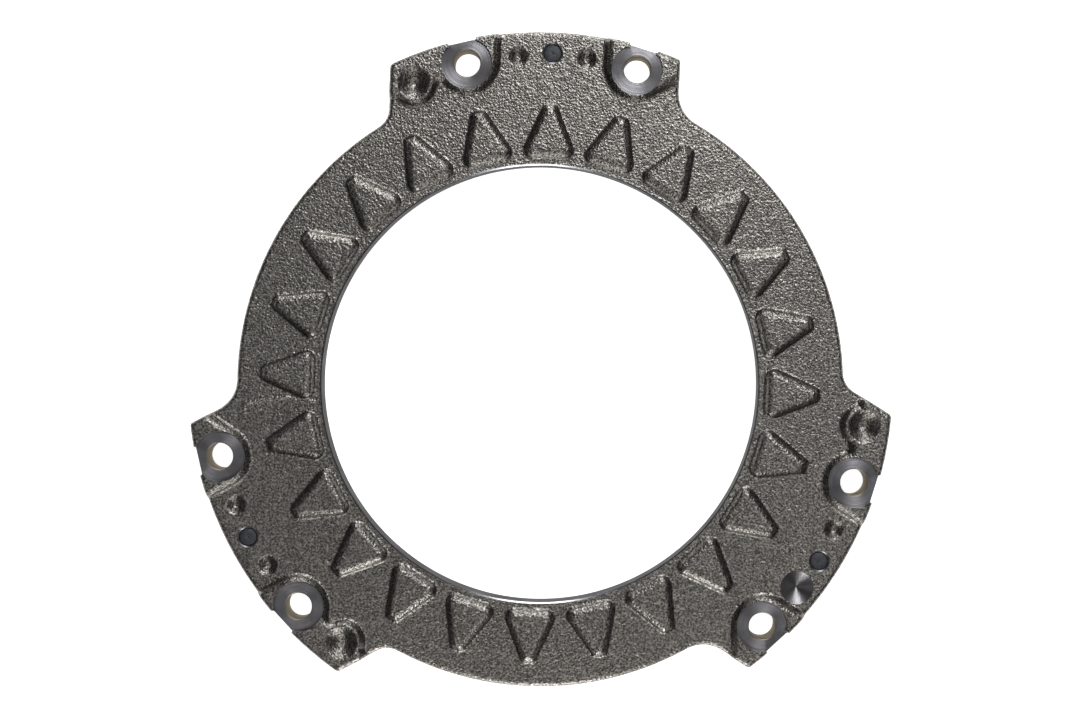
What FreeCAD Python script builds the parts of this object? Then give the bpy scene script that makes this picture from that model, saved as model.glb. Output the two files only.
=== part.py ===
import FreeCAD, Part
import os
from math import acos, atan2, cos, degrees, hypot, radians, sin, sqrt, tan

import Sketcher

# A bolted clutch pressure plate: one grey-iron casting and three pressed-in dowel pins.
# The origin is on the bore's axis in the plane of the friction face. +Z points to the as-cast side with the
# pads, and the dowel pin of the first lug lies on +Y. The three lugs are 120 degrees apart.

document = FreeCAD.newDocument("clutch_pressure_plate")
sheet = document.addObject("Spreadsheet::Sheet", "sizes")
value = {}

# Every size in millimetres and every angle in degrees, with what it measures.
driving_sizes = [
    ("bolt_circle", 285, "diameter of the bolt circle, which places the lugs and the ring"),
    ("ring_inside", 10.5, "outer rim of the ring inside the bolt circle"),
    ("ring_width", 37, "outer rim to the bore"),
    ("ring_thickness", 15, "friction face to the cast front face"),
    ("lug_count", 3, "lugs round the ring"),
    ("lug_setback", 2, "back face of a lug above the friction face"),
    ("lug_edge", 10.5, "bolt circle to the rim of a lug"),
    ("bolt_angle", 15, "dowel pin to a bolt hole"),
    ("bolt_hole", 11.5, "clearance hole for an M10 screw"),
    ("bolt_mouth", 0.4, "chamfer of a bolt hole"),
    ("spotface_diameter", 22, "seat of a screw head"),
    ("spotface_depth", 1.5, "spotface below the top of its boss"),
    ("rim_relief_width", 12, "flat in the rim beside a spotface"),
    ("rim_relief_wall", 9.3, "bolt axis to that flat"),
    ("short_end", 18.6, "bolt hole to the near flank of a lug"),
    ("long_end", 33.3, "bolt hole to the far flank of a lug"),
    ("short_flank_fillet", 15, "near flank into the ring"),
    ("long_flank_fillet", 10, "far flank into the ring"),
    ("short_corner", 1.5, "corner of the near flank and the rim"),
    ("long_corner", 2.5, "corner of the far flank and the rim"),
    ("boss_height", 4, "boss above the cast front face"),
    ("boss_radius", 14.2, "foot of the boss round a bolt hole"),
    ("boss_offset", 1.4, "boss centre outside the bolt hole"),
    ("boss_exit_angle", 29, "near boss wall against the tangent"),
    ("boss_draft", 24, "draft of the boss walls"),
    ("dimple_boss_radius", 9.6, "foot of the boss round a large dimple"),
    ("dimple_boss_exit", 6.6, "far boss wall inside the large dimple"),
    ("notch_radius", 2.6, "notch between the two bosses"),
    ("large_dimple_diameter", 14.5, "large cast dimple"),
    ("large_dimple_depth", 4.2, "large cast dimple"),
    ("large_dimple_tip", 3, "flat bottom of a large cast dimple"),
    ("large_dimple_end_gap", 10.7, "large dimple from the far flank of its lug"),
    ("large_dimple_inside", 9.6, "large dimple from the bolt hole, inwards"),
    ("small_dimple_diameter", 8.6, "small cast dimple"),
    ("small_dimple_depth", 2.4, "small cast dimple"),
    ("small_dimple_tip", 2, "flat bottom of a small cast dimple"),
    ("small_dimple_angle", 6, "dowel pin to a small dimple, on the bolt circle"),
    ("balance_diameter", 14.4, "balance drilling"),
    ("balance_shoulder", 0.3, "straight wall at the mouth of the balance drilling"),
    ("balance_point_angle", 118, "point of the balance drill"),
    ("balance_lug", 2, "lug that was drilled, counted from +Y"),
    ("dowel_outside", 1.25, "dowel pin outside the bolt circle"),
    ("dowel_diameter", 8, "dowel pin and its hole"),
    ("dowel_length", 20, "dowel pin"),
    ("dowel_recess", 1, "end of the pin below the cast front face"),
    ("dowel_chamfer", 0.6, "ends of the pin"),
    ("pad_count", 24, "raised pads round the ring"),
    ("pad_height", 3.2, "pad above the cast front face"),
    ("pad_edge", 2.9, "bore to the foot of a pad"),
    ("pad_length", 23.6, "pad foot from its base to its apex"),
    ("pad_base_width", 21.4, "pad foot over its base corners"),
    ("pad_apex_width", 7.2, "pad foot over its apex corners"),
    ("pad_base_corner", 4, "corners of the pad foot at its base"),
    ("pad_apex_corner", 2.4, "corners of the pad foot at its apex"),
    ("pad_draft", 26, "draft of the pad walls"),
    ("bore_front_chamfer", 0.6, "bore edge at the cast front face"),
    ("bore_back_chamfer", 1, "bore edge at the friction face"),
    ("friction_chamfer", 1.5, "outer edge of the friction face"),
    ("rim_bevel", 0.6, "front outer edge of the casting"),
    ("lug_root", 6, "lug outline sunk into the ring"),
    ("cut_overrun", 6, "how far a cut runs past the outline"),
    ("cut_headroom", 1, "how far a cut starts above the bosses"),
]

# Sizes that follow from the driving ones, written as the sheet's own formulas.
derived_sizes = [
    ("ring_radius", "bolt_circle / 2 - ring_inside"),
    ("bore_radius", "ring_radius - ring_width"),
    ("lug_radius", "bolt_circle / 2 + lug_edge"),
    ("lug_top", "ring_thickness + boss_height"),
    ("lug_height", "ring_thickness + boss_height - lug_setback"),
    ("bolt_x", "bolt_circle / 2 * sin(bolt_angle * 1deg)"),
    ("bolt_y", "bolt_circle / 2 * cos(bolt_angle * 1deg)"),
    ("short_flank", "bolt_x + short_end"),
    ("long_flank", "bolt_x + long_end"),
    ("boss_y", "bolt_y + boss_offset"),
    ("dimple_x", "bolt_x + long_end - large_dimple_end_gap"),
    ("dimple_y", "bolt_y - large_dimple_inside"),
    ("dimple_exit_y", "dimple_y - dimple_boss_exit"),
    ("inner_chord", "sqrt(ring_radius ^ 2 - long_flank ^ 2) - lug_root"),
    ("channel_chord", "inner_chord - cut_overrun"),
    ("channel_top", "lug_radius + cut_overrun"),
    ("channel_short", "short_flank + cut_overrun"),
    ("channel_long", "long_flank + cut_overrun"),
    ("channel_depth", "boss_height + cut_headroom"),
    ("spotface_height", "lug_top - spotface_depth"),
    ("relief_inner", "bolt_circle / 2 + rim_relief_wall"),
    ("relief_outer", "lug_radius + cut_overrun"),
    ("relief_half", "rim_relief_width / 2"),
    ("pad_base_x", "pad_base_width / 2 - pad_base_corner"),
    ("pad_base_y", "bore_radius + pad_edge + pad_base_corner"),
    ("pad_apex_x", "pad_apex_width / 2 - pad_apex_corner"),
    ("pad_apex_y", "bore_radius + pad_edge + pad_length - pad_apex_corner"),
    ("pad_top", "ring_thickness + pad_height"),
    ("pad_wall_run", "pad_height * tan(pad_draft * 1deg)"),
    ("small_dimple_x", "bolt_circle / 2 * sin(small_dimple_angle * 1deg)"),
    ("small_dimple_y", "bolt_circle / 2 * cos(small_dimple_angle * 1deg)"),
    ("dowel_radius", "dowel_diameter / 2"),
    ("dowel_y", "bolt_circle / 2 + dowel_outside"),
    ("dowel_top", "ring_thickness - dowel_recess"),
    ("dowel_bottom", "dowel_top - dowel_length"),
]


def fill_sheet():
    """Writes the driving sizes as plain numbers, and the derived ones as formulas on their aliases."""
    for row, (alias, number, meaning) in enumerate(driving_sizes, start=1):
        sheet.set("A%d" % row, alias)
        sheet.set("B%d" % row, str(number))
        sheet.setAlias("B%d" % row, alias)
        sheet.set("C%d" % row, meaning)
    first = len(driving_sizes) + 2
    for row, (alias, formula) in enumerate(derived_sizes, start=first):
        sheet.set("A%d" % row, alias)
        sheet.set("B%d" % row, "=" + formula)
        sheet.setAlias("B%d" % row, alias)
    document.recompute()
    for alias, *_ in driving_sizes + derived_sizes:
        value[alias] = float(sheet.get(alias))


fill_sheet()


def origin_feature(body, role):
    """The origin plane or axis of a body that has this role, such as XY_Plane or Z_Axis."""
    return next(item for item in body.Origin.OriginFeatures if item.Role == role)


def sketch_on(body, name, plane, height=None, turn=None):
    """A sketch on an origin plane of its own body, raised by one named size and turned by another."""
    sketch = body.newObject("Sketcher::SketchObject", name)
    sketch.AttachmentSupport = [(origin_feature(body, plane), "")]
    sketch.MapMode = "FlatFace"
    if height:
        sketch.setExpression("AttachmentOffset.Base.z", "sizes." + height)
    if turn:
        sketch.setExpression("AttachmentOffset.Rotation.Angle", turn)
    return sketch


def point(x, y):
    return FreeCAD.Vector(x, y, 0)


def arc(centre, radius, start, end):
    """An arc that runs counter-clockwise from the start angle to the end angle, both in degrees."""
    circle = Part.Circle(point(*centre), FreeCAD.Vector(0, 0, 1), radius)
    return Part.ArcOfCircle(circle, radians(start), radians(end))


def size_constraint(sketch, kind, references, formula, number):
    """A dimension that is bound to a formula on the sheet, started at its present number."""
    index = sketch.addConstraint(Sketcher.Constraint(kind, *references, number))
    name = "size_%d" % index
    sketch.renameConstraint(index, name)
    sketch.setExpression("Constraints." + name, formula)


def place(sketch, geometry, position, x_size, y_size, x_sign=1, y_sign=1):
    """Dimensions a point of the sketch from its origin by two named sizes."""
    size_constraint(sketch, "DistanceX", (-1, 1, geometry, position), "%d * sizes.%s" % (x_sign, x_size),
                    x_sign * value[x_size])
    size_constraint(sketch, "DistanceY", (-1, 1, geometry, position), "%d * sizes.%s" % (y_sign, y_size),
                    y_sign * value[y_size])


def join(sketch, pairs):
    """Makes the end of one edge meet the start of another, smoothly where the pair says tangent."""
    for first, first_end, second, second_end, kind in pairs:
        sketch.addConstraint(Sketcher.Constraint(kind, first, first_end, second, second_end))


def pattern(name, originals, count):
    """Repeats features of the casting round the Z axis, and makes the pattern its last feature."""
    copies = casting.newObject("PartDesign::PolarPattern", name)
    copies.Originals = originals
    copies.Axis = (origin_feature(casting, "Z_Axis"), [""])
    copies.Angle = 360
    copies.setExpression("Occurrences", "sizes." + count)
    casting.Tip = copies
    document.recompute()


def edges_where(feature, test):
    """Names of the edges of a feature that pass a test."""
    return ["Edge%d" % number for number, edge in enumerate(feature.Shape.Edges, start=1) if test(edge)]


def ease_edges(kind, name, test, size):
    """A fillet or a chamfer of one named size on every edge of the casting that passes the test."""
    base = casting.Tip
    names = edges_where(base, test)
    if not names:
        raise RuntimeError("no edge found for " + name)
    easing = casting.newObject("PartDesign::" + kind, name)
    easing.Base = (base, names)
    easing.setExpression("Radius" if kind == "Fillet" else "Size", "sizes." + size)
    document.recompute()


def middle(edge):
    """The point half way along an edge's parameter."""
    return edge.valueAt((edge.FirstParameter + edge.LastParameter) / 2)


def level(edge, height):
    """True for an edge that lies wholly at one height."""
    box = edge.BoundBox
    return abs(box.ZMin - height) < 1e-3 and abs(box.ZMax - height) < 1e-3


def from_lug(spot):
    """A point turned into the frame of the lug nearest to it, with that lug's dowel pin on +Y."""
    pitch = 360 / value["lug_count"]
    turn = round((degrees(atan2(spot.y, spot.x)) - 90) / pitch) * pitch
    c, s = cos(radians(-turn)), sin(radians(-turn))
    return FreeCAD.Vector(c * spot.x - s * spot.y, s * spot.x + c * spot.y, spot.z)


casting = document.addObject("PartDesign::Body", "casting")
casting.Label = "pressure_plate_casting"


def closed_profile(sketch, corners, formulas):
    """A closed profile of straight edges whose corners are dimensioned from the sketch's origin.

    Each corner has a formula for x and one for y. An empty formula puts the corner on that axis instead.
    """
    count = len(corners)
    for number, corner in enumerate(corners):
        sketch.addGeometry(Part.LineSegment(point(*corner), point(*corners[(number + 1) % count])), False)
    join(sketch, [(number, 2, (number + 1) % count, 1, "Coincident") for number in range(count)])
    for number, ((x, y), (x_formula, y_formula)) in enumerate(zip(corners, formulas)):
        if x_formula:
            size_constraint(sketch, "DistanceX", (-1, 1, number, 1), x_formula, x)
        else:
            sketch.addConstraint(Sketcher.Constraint("PointOnObject", number, 1, -2))
        if y_formula:
            size_constraint(sketch, "DistanceY", (-1, 1, number, 1), y_formula, y)
        else:
            sketch.addConstraint(Sketcher.Constraint("PointOnObject", number, 1, -1))


def add_ring():
    """The ring, turned: a rectangle with chamfered bore edges and a chamfered friction face."""
    sketch = sketch_on(casting, "ring_profile", "XZ_Plane")
    inner, outer = value["bore_radius"], value["ring_radius"]
    top = value["ring_thickness"]
    back, front, edge = value["bore_back_chamfer"], value["bore_front_chamfer"], value["friction_chamfer"]
    corners = [(inner, back), (inner, top - front), (inner + front, top), (outer, top), (outer, edge),
               (outer - edge, 0), (inner + back, 0)]
    formulas = [("sizes.bore_radius", "sizes.bore_back_chamfer"),
                ("sizes.bore_radius", "sizes.ring_thickness - sizes.bore_front_chamfer"),
                ("sizes.bore_radius + sizes.bore_front_chamfer", "sizes.ring_thickness"),
                ("sizes.ring_radius", "sizes.ring_thickness"),
                ("sizes.ring_radius", "sizes.friction_chamfer"),
                ("sizes.ring_radius - sizes.friction_chamfer", ""),
                ("sizes.bore_radius + sizes.bore_back_chamfer", "")]
    closed_profile(sketch, corners, formulas)
    ring = casting.newObject("PartDesign::Revolution", "ring")
    ring.Profile = sketch
    ring.ReferenceAxis = (sketch, ["V_Axis"])
    ring.Angle = 360
    document.recompute()


def add_lugs():
    """The lugs: one is padded to the height of its bosses, its low part is cut down, and both repeat."""
    sketch = sketch_on(casting, "lug_outline", "XY_Plane", height="lug_setback")
    radius = value["lug_radius"]
    left, right, chord = -value["long_flank"], value["short_flank"], value["inner_chord"]
    left_top, right_top = sqrt(radius ** 2 - left ** 2), sqrt(radius ** 2 - right ** 2)
    rim = arc((0, 0), radius, degrees(atan2(right_top, right)), degrees(atan2(left_top, left)))
    outline = [rim,
               Part.LineSegment(point(left, left_top), point(left, chord)),
               Part.LineSegment(point(left, chord), point(right, chord)),
               Part.LineSegment(point(right, chord), point(right, right_top))]
    sketch.addGeometry(outline, False)
    join(sketch, [(0, 2, 1, 1, "Coincident"), (1, 2, 2, 1, "Coincident"), (2, 2, 3, 1, "Coincident"),
                  (3, 2, 0, 1, "Coincident"), (0, 3, -1, 1, "Coincident")])
    for number, kind in ((1, "Vertical"), (2, "Horizontal"), (3, "Vertical")):
        sketch.addConstraint(Sketcher.Constraint(kind, number))
    size_constraint(sketch, "Radius", (0,), "sizes.lug_radius", radius)
    place(sketch, 1, 2, "long_flank", "inner_chord", x_sign=-1)
    size_constraint(sketch, "DistanceX", (-1, 1, 3, 2), "sizes.short_flank", right)
    lug = casting.newObject("PartDesign::Pad", "lug")
    lug.Profile = sketch
    lug.setExpression("Length", "sizes.lug_height")
    document.recompute()
    low_part = casting.newObject("PartDesign::Pocket", "lug_low_part")
    low_part.Profile = channel_sketch()
    low_part.Reversed = True
    low_part.setExpression("Length", "sizes.channel_depth")
    low_part.setExpression("TaperAngle", "sizes.boss_draft")
    document.recompute()
    pattern("lugs", [lug, low_part], "lug_count")


def channel_sketch():
    """The low part of a lug, drawn at the foot of the boss walls.

    It is the channel between the two bolt bosses and all that lies inside them. Its edge follows the near
    boss, runs out over the near flank, and comes back round the large dimple and the far boss.
    """
    sketch = sketch_on(casting, "lug_low_outline", "XY_Plane", height="ring_thickness")
    radius, small, notch = value["boss_radius"], value["dimple_boss_radius"], value["notch_radius"]
    bolt = (value["bolt_x"], value["boss_y"])
    far = (-value["bolt_x"], value["boss_y"])
    dimple = (-value["dimple_x"], value["dimple_y"])
    wall = bolt[0] - radius
    exit_angle = value["boss_exit_angle"]
    leave = (bolt[0] + radius * sin(radians(exit_angle)), bolt[1] - radius * cos(radians(exit_angle)))
    right, left = value["channel_short"], -value["channel_long"]
    out = (right, leave[1] + (right - leave[0]) * tan(radians(exit_angle)))
    top, chord, back = value["channel_top"], value["channel_chord"], value["dimple_exit_y"]
    entry = (dimple[0] - sqrt(small ** 2 - (dimple[1] - back) ** 2), back)

    # The notch circle touches both boss circles from outside, so its centre closes a triangle with theirs.
    span = hypot(far[0] - dimple[0], far[1] - dimple[1])
    near_side, far_side = small + notch, radius + notch
    along = (span ** 2 + near_side ** 2 - far_side ** 2) / (2 * span)
    down = sqrt(near_side ** 2 - along ** 2)
    ux, uy = (far[0] - dimple[0]) / span, (far[1] - dimple[1]) / span
    hollow = (dimple[0] + along * ux + down * uy, dimple[1] + along * uy - down * ux)
    to_far = degrees(atan2(far[1] - hollow[1], far[0] - hollow[0]))
    to_dimple = degrees(atan2(dimple[1] - hollow[1], dimple[0] - hollow[0]))
    entry_angle = degrees(atan2(entry[1] - dimple[1], entry[0] - dimple[0])) % 360
    touch_near = (hollow[0] + notch * cos(radians(to_dimple)), hollow[1] + notch * sin(radians(to_dimple)))

    outline = [Part.LineSegment(point(wall, top), point(wall, bolt[1])),
               arc(bolt, radius, 180, 270 + exit_angle),
               Part.LineSegment(point(*leave), point(*out)),
               Part.LineSegment(point(*out), point(right, chord)),
               Part.LineSegment(point(right, chord), point(left, chord)),
               Part.LineSegment(point(left, chord), point(left, back)),
               Part.LineSegment(point(left, back), point(*entry)),
               arc(dimple, small, entry_angle, to_dimple + 180),
               arc(hollow, notch, to_far, to_dimple),
               arc(far, radius, to_far + 180, 360),
               Part.LineSegment(point(-wall, bolt[1]), point(-wall, top)),
               Part.LineSegment(point(-wall, top), point(wall, top))]
    sketch.addGeometry(outline, False)
    join(sketch, [(0, 2, 1, 1, "Tangent"), (1, 2, 2, 1, "Tangent"), (2, 2, 3, 1, "Coincident"),
                  (3, 2, 4, 1, "Coincident"), (4, 2, 5, 1, "Coincident"), (5, 2, 6, 1, "Coincident"),
                  (6, 2, 7, 1, "Coincident"), (7, 2, 8, 2, "Tangent"), (8, 1, 9, 1, "Tangent"),
                  (9, 2, 10, 1, "Tangent"), (10, 2, 11, 1, "Coincident"), (11, 2, 0, 1, "Coincident")])
    for number in (0, 3, 5, 10):
        sketch.addConstraint(Sketcher.Constraint("Vertical", number))
    for number in (4, 6, 11):
        sketch.addConstraint(Sketcher.Constraint("Horizontal", number))
    sketch.addConstraint(Sketcher.Constraint("Equal", 1, 9))
    size_constraint(sketch, "Radius", (1,), "sizes.boss_radius", radius)
    size_constraint(sketch, "Radius", (7,), "sizes.dimple_boss_radius", small)
    size_constraint(sketch, "Radius", (8,), "sizes.notch_radius", notch)
    place(sketch, 1, 3, "bolt_x", "boss_y")
    place(sketch, 9, 3, "bolt_x", "boss_y", x_sign=-1)
    place(sketch, 7, 3, "dimple_x", "dimple_y", x_sign=-1)
    place(sketch, 4, 2, "channel_long", "channel_chord", x_sign=-1)
    size_constraint(sketch, "DistanceX", (-1, 1, 3, 2), "sizes.channel_short", right)
    size_constraint(sketch, "DistanceY", (-1, 1, 6, 1), "sizes.dimple_exit_y", back)
    size_constraint(sketch, "DistanceY", (-1, 1, 0, 1), "sizes.channel_top", top)
    size_constraint(sketch, "Angle", (2,), "sizes.boss_exit_angle * 1deg", radians(exit_angle))
    return sketch


def round_lug_corners():
    """Fillets on the upright edges of the lugs: both flanks into the ring, and both corners at the rim."""
    plan = [("short_flank_fillet", "short_flank", 1, "ring_radius"),
            ("long_flank_fillet", "long_flank", -1, "ring_radius"),
            ("short_corner", "short_flank", 1, "lug_radius"),
            ("long_corner", "long_flank", -1, "lug_radius")]
    for radius, flank, side, circle in plan:
        corner = point(side * value[flank], sqrt(value[circle] ** 2 - value[flank] ** 2))

        def upright(edge):
            box = edge.BoundBox
            spot = from_lug(middle(edge))
            near = point(spot.x, spot.y).distanceToPoint(corner) < 1e-2
            return near and box.ZLength > 1 and box.XLength < 1e-3 and box.YLength < 1e-3

        ease_edges("Fillet", radius + "_rounding", upright, radius)


def upright_face(face):
    """True for a face that stands upright on the outside of the casting."""
    spot = face.CenterOfMass
    u, v = face.Surface.parameter(spot)
    box = face.BoundBox
    outside = max(hypot(vertex.X, vertex.Y) for vertex in face.Vertexes) > value["ring_radius"] - 0.01
    return outside and box.ZLength > 2 and abs(face.normalAt(u, v).z) < 1e-3


def bevel_outline():
    """The front outer edge, bevelled on the ring, the flanks and the rims of the lugs."""
    found = []
    for face in casting.Tip.Shape.Faces:
        if upright_face(face):
            found += [edge for edge in face.Edges
                      if level(edge, value["ring_thickness"]) or level(edge, value["lug_top"])]

    def outline(edge):
        return any(edge.isSame(other) for other in found)

    ease_edges("Chamfer", "outline_bevel", outline, "rim_bevel")


def chamfer_mouths():
    """Small chamfers at the front mouths of the bolt holes, cut when they were spotfaced."""
    def mouth(edge):
        hole = isinstance(edge.Curve, Part.Circle) and abs(edge.Curve.Radius - value["bolt_hole"] / 2) < 1e-3
        return hole and level(edge, value["spotface_height"])

    ease_edges("Chamfer", "bolt_mouths", mouth, "bolt_mouth")


def add_pads():
    """The raised pads: a rounded triangle with drafted walls, lofted from its foot to its crown."""
    foot = pad_sketch("pad_foot", "ring_thickness", "0", 0)
    crown = pad_sketch("pad_crown", "pad_top", "sizes.pad_wall_run", value["pad_wall_run"])
    pad = casting.newObject("PartDesign::AdditiveLoft", "pad")
    pad.Profile = foot
    pad.Sections = [crown]
    pad.Ruled = True
    document.recompute()
    pattern("pads", [pad], "pad_count")


def pad_sketch(name, height, inset_formula, inset):
    """A pad's outline at one height: the hull of four corner circles, each smaller by the inset.

    It is a trapezium with its long base towards the bore. The inset shrinks the circles and moves no centre.
    """
    sketch = sketch_on(casting, name, "XY_Plane", height=height)
    base_x, base_y, base_corner = value["pad_base_x"], value["pad_base_y"], value["pad_base_corner"] - inset
    apex_x, apex_y, apex_corner = value["pad_apex_x"], value["pad_apex_y"], value["pad_apex_corner"] - inset

    # A flank touches a base circle and an apex circle, and its normal leans by the angle facing.
    across, up = apex_x - base_x, apex_y - base_y
    facing = degrees(atan2(up, across)) - degrees(acos((base_corner - apex_corner) / hypot(across, up)))
    nx, ny = cos(radians(facing)), sin(radians(facing))
    low = (base_x + base_corner * nx, base_y + base_corner * ny)
    high = (apex_x + apex_corner * nx, apex_y + apex_corner * ny)
    bottom, top = base_y - base_corner, apex_y + apex_corner
    outline = [Part.LineSegment(point(-base_x, bottom), point(base_x, bottom)),
               arc((base_x, base_y), base_corner, 270, 360 + facing),
               Part.LineSegment(point(*low), point(*high)),
               arc((apex_x, apex_y), apex_corner, facing, 90),
               Part.LineSegment(point(apex_x, top), point(-apex_x, top)),
               arc((-apex_x, apex_y), apex_corner, 90, 180 - facing),
               Part.LineSegment(point(-high[0], high[1]), point(-low[0], low[1])),
               arc((-base_x, base_y), base_corner, 180 - facing, 270)]
    sketch.addGeometry(outline, False)
    count = len(outline)
    join(sketch, [(number, 2, (number + 1) % count, 1, "Tangent") for number in range(count)])
    sketch.addConstraint(Sketcher.Constraint("Equal", 1, 7))
    sketch.addConstraint(Sketcher.Constraint("Equal", 3, 5))
    size_constraint(sketch, "Radius", (1,), "sizes.pad_base_corner - (%s)" % inset_formula, base_corner)
    size_constraint(sketch, "Radius", (3,), "sizes.pad_apex_corner - (%s)" % inset_formula, apex_corner)
    place(sketch, 1, 3, "pad_base_x", "pad_base_y")
    place(sketch, 7, 3, "pad_base_x", "pad_base_y", x_sign=-1)
    place(sketch, 3, 3, "pad_apex_x", "pad_apex_y")
    place(sketch, 5, 3, "pad_apex_x", "pad_apex_y", x_sign=-1)
    return sketch


def circle_sketch(name, height, diameter, spots, turn=None):
    """Circles of one named diameter, each at a spot given by its two sizes and the side it lies on."""
    sketch = sketch_on(casting, name, "XY_Plane", height=height, turn=turn)
    for number, (x_size, y_size, side) in enumerate(spots):
        centre = point(side * value[x_size], value[y_size])
        circle = Part.Circle(centre, FreeCAD.Vector(0, 0, 1), value[diameter] / 2)
        sketch.addGeometry(circle, False)
        place(sketch, number, 3, x_size, y_size, x_sign=side)
        size_constraint(sketch, "Diameter", (number,), "sizes." + diameter, value[diameter])
    return sketch


def add_bolt_holes():
    """The bolt holes: drilled through and spotfaced from the front, with a flat in the rim beside each."""
    bolts = casting.newObject("PartDesign::Hole", "bolt_holes_of_a_lug")
    bolts.Profile = circle_sketch("bolt_centres", "lug_top", "bolt_hole",
                                  [("bolt_x", "bolt_y", 1), ("bolt_x", "bolt_y", -1)])
    document.recompute()
    bolts.DepthType = "ThroughAll"
    bolts.setExpression("Diameter", "sizes.bolt_hole")
    bolts.HoleCutType = "Counterbore"
    bolts.HoleCutCustomValues = True
    bolts.setExpression("HoleCutDiameter", "sizes.spotface_diameter")
    bolts.setExpression("HoleCutDepth", "sizes.spotface_depth")
    document.recompute()
    near_flat = add_rim_flat("near_rim_flat", "-sizes.bolt_angle")
    far_flat = add_rim_flat("far_rim_flat", "sizes.bolt_angle")
    pattern("bolt_holes", [bolts, near_flat, far_flat], "lug_count")


def add_rim_flat(name, turn):
    """The flat in the rim that lets a screw head pass, cut through a lug beside one bolt hole."""
    sketch = sketch_on(casting, name + "_outline", "XY_Plane", height="lug_top", turn=turn)
    half, inner, outer = value["relief_half"], value["relief_inner"], value["relief_outer"]
    corners = [(-half, inner), (half, inner), (half, outer), (-half, outer)]
    formulas = [("-sizes.relief_half", "sizes.relief_inner"),
                ("sizes.relief_half", "sizes.relief_inner"),
                ("sizes.relief_half", "sizes.relief_outer"),
                ("-sizes.relief_half", "sizes.relief_outer")]
    closed_profile(sketch, corners, formulas)
    flat = casting.newObject("PartDesign::Pocket", name)
    flat.Profile = sketch
    flat.Type = "ThroughAll"
    document.recompute()
    return flat


def add_dimples():
    """The cast dimples, which narrow to a small flat bottom."""
    both_sides = [("small_dimple_x", "small_dimple_y", 1), ("small_dimple_x", "small_dimple_y", -1)]
    small = casting.newObject("PartDesign::Pocket", "small_dimples_of_a_lug")
    small.Profile = circle_sketch("small_mouths", "ring_thickness", "small_dimple_diameter", both_sides)
    large = casting.newObject("PartDesign::Pocket", "large_dimple_of_a_lug")
    large.Profile = circle_sketch("large_mouth", "lug_top", "large_dimple_diameter",
                                  [("dimple_x", "dimple_y", -1)])
    for dimple, size in ((small, "small"), (large, "large")):
        mouth, tip, depth = ["sizes.%s_dimple_%s" % (size, part) for part in ("diameter", "tip", "depth")]
        dimple.setExpression("Length", depth)
        dimple.setExpression("TaperAngle", "-atan((%s - %s) / 2 / %s)" % (mouth, tip, depth))
    document.recompute()
    pattern("cast_dimples", [small, large], "lug_count")


def add_balance_drilling():
    """The one shallow drilling that balanced the casting. It takes the place of a small dimple."""
    balance = casting.newObject("PartDesign::Hole", "balance_drilling")
    balance.Profile = circle_sketch("balance_centre", "ring_thickness", "balance_diameter",
                                    [("small_dimple_x", "small_dimple_y", 1)],
                                    turn="sizes.balance_lug * 360 / sizes.lug_count")
    document.recompute()
    balance.setExpression("Diameter", "sizes.balance_diameter")
    balance.DepthType = "Dimension"
    balance.setExpression("Depth", "sizes.balance_shoulder")
    balance.DrillPoint = "Angled"
    balance.setExpression("DrillPointAngle", "sizes.balance_point_angle")
    document.recompute()


def add_dowel_holes():
    """The reamed holes of the dowel pins."""
    hole = casting.newObject("PartDesign::Pocket", "dowel_hole")
    sketch = sketch_on(casting, "dowel_centre", "XY_Plane", height="lug_top")
    circle = Part.Circle(point(0, value["dowel_y"]), FreeCAD.Vector(0, 0, 1), value["dowel_radius"])
    sketch.addGeometry(circle, False)
    sketch.addConstraint(Sketcher.Constraint("PointOnObject", 0, 3, -2))
    size_constraint(sketch, "DistanceY", (-1, 1, 0, 3), "sizes.dowel_y", value["dowel_y"])
    size_constraint(sketch, "Diameter", (0,), "sizes.dowel_diameter", value["dowel_diameter"])
    hole.Profile = sketch
    hole.Type = "ThroughAll"
    document.recompute()
    pattern("dowel_holes", [hole], "lug_count")


def add_dowel_pin(number):
    """A dowel pin, turned and chamfered at both ends.

    It is drawn round its own axis, and its placement sets it in the hole of its lug.
    """
    body = document.addObject("PartDesign::Body", "dowel_pin_%d" % number)
    body.Label = "dowel_pin_%d" % number
    sketch = sketch_on(body, "dowel_profile_%d" % number, "XZ_Plane")
    radius, bevel = value["dowel_radius"], value["dowel_chamfer"]
    bottom, top = value["dowel_bottom"], value["dowel_top"]
    corners = [(0, bottom), (radius - bevel, bottom), (radius, bottom + bevel), (radius, top - bevel),
               (radius - bevel, top), (0, top)]
    edge = "sizes.dowel_radius - sizes.dowel_chamfer"
    formulas = [("", "sizes.dowel_bottom"), (edge, "sizes.dowel_bottom"),
                ("sizes.dowel_radius", "sizes.dowel_bottom + sizes.dowel_chamfer"),
                ("sizes.dowel_radius", "sizes.dowel_top - sizes.dowel_chamfer"),
                (edge, "sizes.dowel_top"), ("", "sizes.dowel_top")]
    closed_profile(sketch, corners, formulas)
    pin = body.newObject("PartDesign::Revolution", "turned_pin_%d" % number)
    pin.Profile = sketch
    pin.ReferenceAxis = (sketch, ["V_Axis"])
    pin.Angle = 360
    turn = "%d * 360deg / sizes.lug_count" % (number - 1)
    body.setExpression("Placement.Base.x", "-sizes.dowel_y * sin(%s)" % turn)
    body.setExpression("Placement.Base.y", "sizes.dowel_y * cos(%s)" % turn)
    body.setExpression("Placement.Rotation.Angle", turn)
    document.recompute()
    return body


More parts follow.
